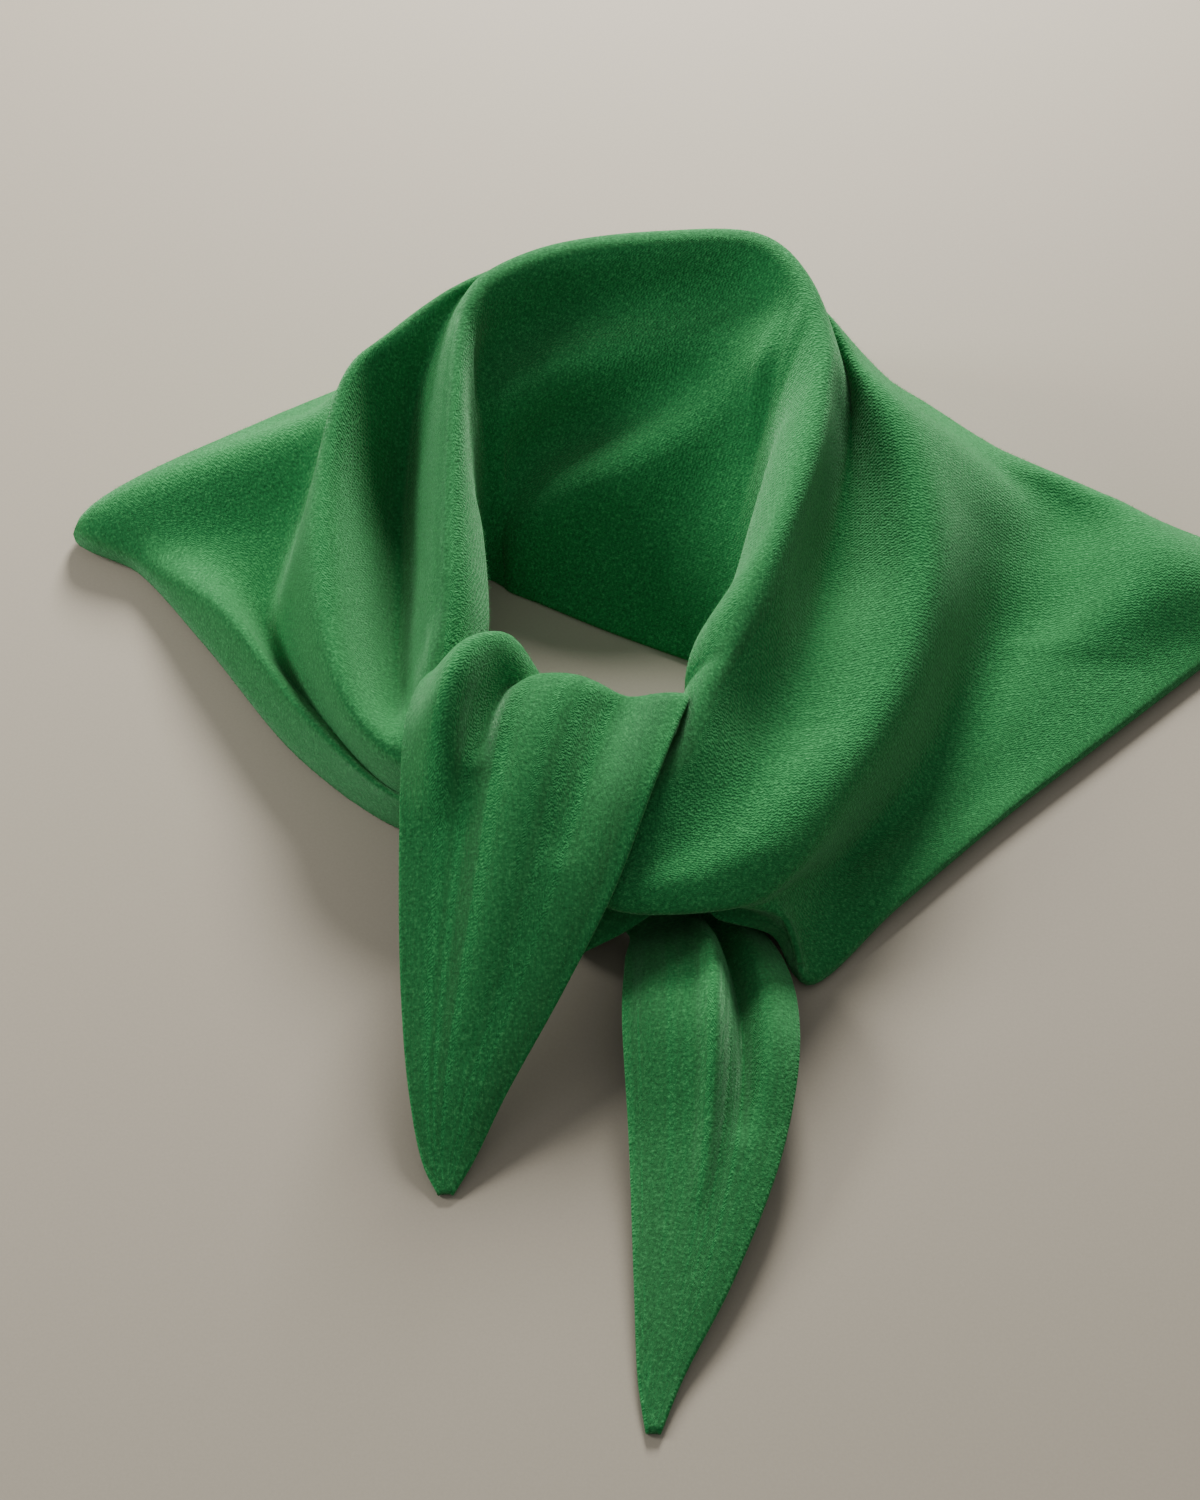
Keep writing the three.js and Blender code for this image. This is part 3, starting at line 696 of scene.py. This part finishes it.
# %% Fibres thrown over the cloth
FIBRES = 46000
FIBRE_LENGTH = (1.0 * MM, 2.6 * MM)
FIBRE_RADIUS = 0.05 * MM
ROOT_DEPTH = 0.1 * MM
UPPER_SHARE = 0.8  # of the fibres, the rest grow on the lower face
RISE, LEAN_OVER = 0.75, 0.65
chance = np.random.default_rng(7)
cell_along = middle[1:, :-1] - middle[:-1, :-1]
cell_across = middle[:-1, 1:] - middle[:-1, :-1]
cell = np.linalg.norm(np.cross(cell_along, cell_across), axis=2)
picked = chance.choice(cell.size, FIBRES, p=(cell / cell.sum()).ravel())
row, column = np.divmod(picked, cell.shape[1])
down, over = chance.random((2, FIBRES, 1))


def on_cloth(values):
    """A grid's values at the picked places: a(1 - s)(1 - t) + b s(1 - t) + c(1 - s)t + d s t."""
    a, b = values[row, column], values[row + 1, column]
    c, d = values[row, column + 1], values[row + 1, column + 1]
    near = a * (1 - down) * (1 - over) + b * down * (1 - over)
    return near + c * (1 - down) * over + d * down * over


face = on_cloth(normal)
face *= np.where(chance.random((FIBRES, 1)) < UPPER_SHARE, 1, -1)
root = on_cloth(middle) + face * (WALL / 2 - ROOT_DEPTH)
lean = chance.normal(size=(FIBRES, 3))
lean -= face * (lean * face).sum(axis=1, keepdims=True)
lean /= np.linalg.norm(lean, axis=1, keepdims=True)
reach = chance.uniform(*FIBRE_LENGTH, (FIBRES, 1))
tip = root + reach * (face * RISE + lean * LEAN_OVER)
tip[:, 2] = np.maximum(tip[:, 2], 0)
root[:, 2] = np.maximum(root[:, 2], 2 * FIBRE_RADIUS)
print("fibres rooted:", len(root), "with tips up to", round(float(tip[:, 2].max()), 4), "m high")

# %% The nap as spikes
TRIANGLE = [(0, 1), (0.87, -0.5), (-0.87, -0.5)]  # a spike's base, as shares of side and lean
SPIKE_FACES = np.array([[0, 2, 1], [0, 1, 3], [1, 2, 3], [2, 0, 3]])
side = np.cross(face, lean)
base = [root + (side * a + lean * b) * FIBRE_RADIUS for a, b in TRIANGLE]
spikes = np.stack([*base, tip], axis=1)
spike_faces = np.arange(FIBRES)[:, None, None] * spikes.shape[1] + SPIKE_FACES
nap = new_mesh("scarf_nap", spikes, spike_faces.reshape(-1, 3).tolist())


def nap_finish():
    """Pale and dull, because a single fibre lets light through and shows no grain."""
    finish = Finish("green_nap")
    finish.surface({"Base Color": PALE_GREEN, "Roughness": 1.0, "Specular IOR Level": 0.1})
    return finish.material


nap.data.materials.append(nap_finish())
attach(nap, "root")
print("nap:", FIBRES, "fibres,", len(nap.data.polygons), "triangles")

# %% [markdown]
# ## The sheet it was cut from
# Before it was tied, the scarf was a flat triangle, a long edge and a depth.

# %% [markdown]
# ## Table, light and camera
# The table is pale and plain. One soft light comes low from behind, which leaves the inside of the
# collar in shade, and a weaker one from the left brings out the knot. The camera looks down at 50
# degrees with a long lens, as a still of clothes is usually taken.

# %% The table
TABLE_REACH = 6.0
TABLE_DROP = 0.2 * MM
TABLE_NOISE = (900.0, 2.0)
TABLE_DARK = (0.32, 0.29, 0.235, 1)
TABLE_PALE = (0.36, 0.325, 0.265, 1)


def table_finish():
    """A fine grain between two near greys, dull enough to show no reflection."""
    finish = Finish("pale_table")
    colour = finish.mix_colour(finish.noise(*TABLE_NOISE), TABLE_DARK, TABLE_PALE)
    finish.surface({"Base Color": colour, "Roughness": 0.75})
    return finish.material


corners = np.array([[-1, -1, 0], [1, -1, 0], [1, 1, 0], [-1, 1, 0]]) * TABLE_REACH
table = new_mesh("table", corners - [0, 0, TABLE_DROP], [[0, 1, 2, 3]])
table.data.materials.append(table_finish())
print("table:", 2 * TABLE_REACH, "m wide")


# %% Light
def soft_light(name, place, target, size, power, colour):
    """A round lamp that faces its target: its turn comes from the plan, its tilt from the drop."""
    lamp = bpy.data.lights.new(name, "AREA")
    lamp.shape = "DISK"
    lamp.size = size
    lamp.energy = power
    lamp.color = colour
    made = bpy.data.objects.new(name, lamp)
    bpy.context.scene.collection.objects.link(made)
    made.location = place
    toward = np.array(target) - np.array(place)
    turn = math.atan2(toward[1], toward[0]) - math.pi / 2
    tilt = math.acos(-toward[2] / np.linalg.norm(toward))
    made.rotation_euler = (tilt, 0, turn)


soft_light(
    "back_light",
    place=(0.1, 1.5, 0.75), target=(-0.1, -0.05, 0), size=0.5, power=64, colour=(1, 0.96, 0.9),
)
soft_light(
    "left_fill",
    place=(-1.4, 0.2, 0.75), target=(-0.1, -0.1, 0), size=0.5, power=15, colour=(1, 0.97, 0.92),
)
world = bpy.data.worlds.new("room")
world.use_nodes = True
ambient = world.node_tree.nodes["Background"].inputs
ambient["Color"].default_value = (1, 0.98, 0.95, 1)
ambient["Strength"].default_value = 0.35
bpy.context.scene.world = world
print("lamps:", [lamp.name for lamp in bpy.data.lights])

# %% Camera
ELEVATION = math.radians(50)
DISTANCE = 1.254
TARGET = np.array([-38.9, 31.96, 0]) * MM
lens = bpy.data.cameras.new("camera")
lens.lens = 70
lens.sensor_width = 36
camera = bpy.data.objects.new("camera", lens)
bpy.context.scene.collection.objects.link(camera)
camera.location = TARGET + DISTANCE * np.array([0, -math.cos(ELEVATION), math.sin(ELEVATION)])
camera.rotation_euler = (math.pi / 2 - ELEVATION, 0, 0)
bpy.context.scene.camera = camera
print("camera at", [round(v, 3) for v in camera.location])
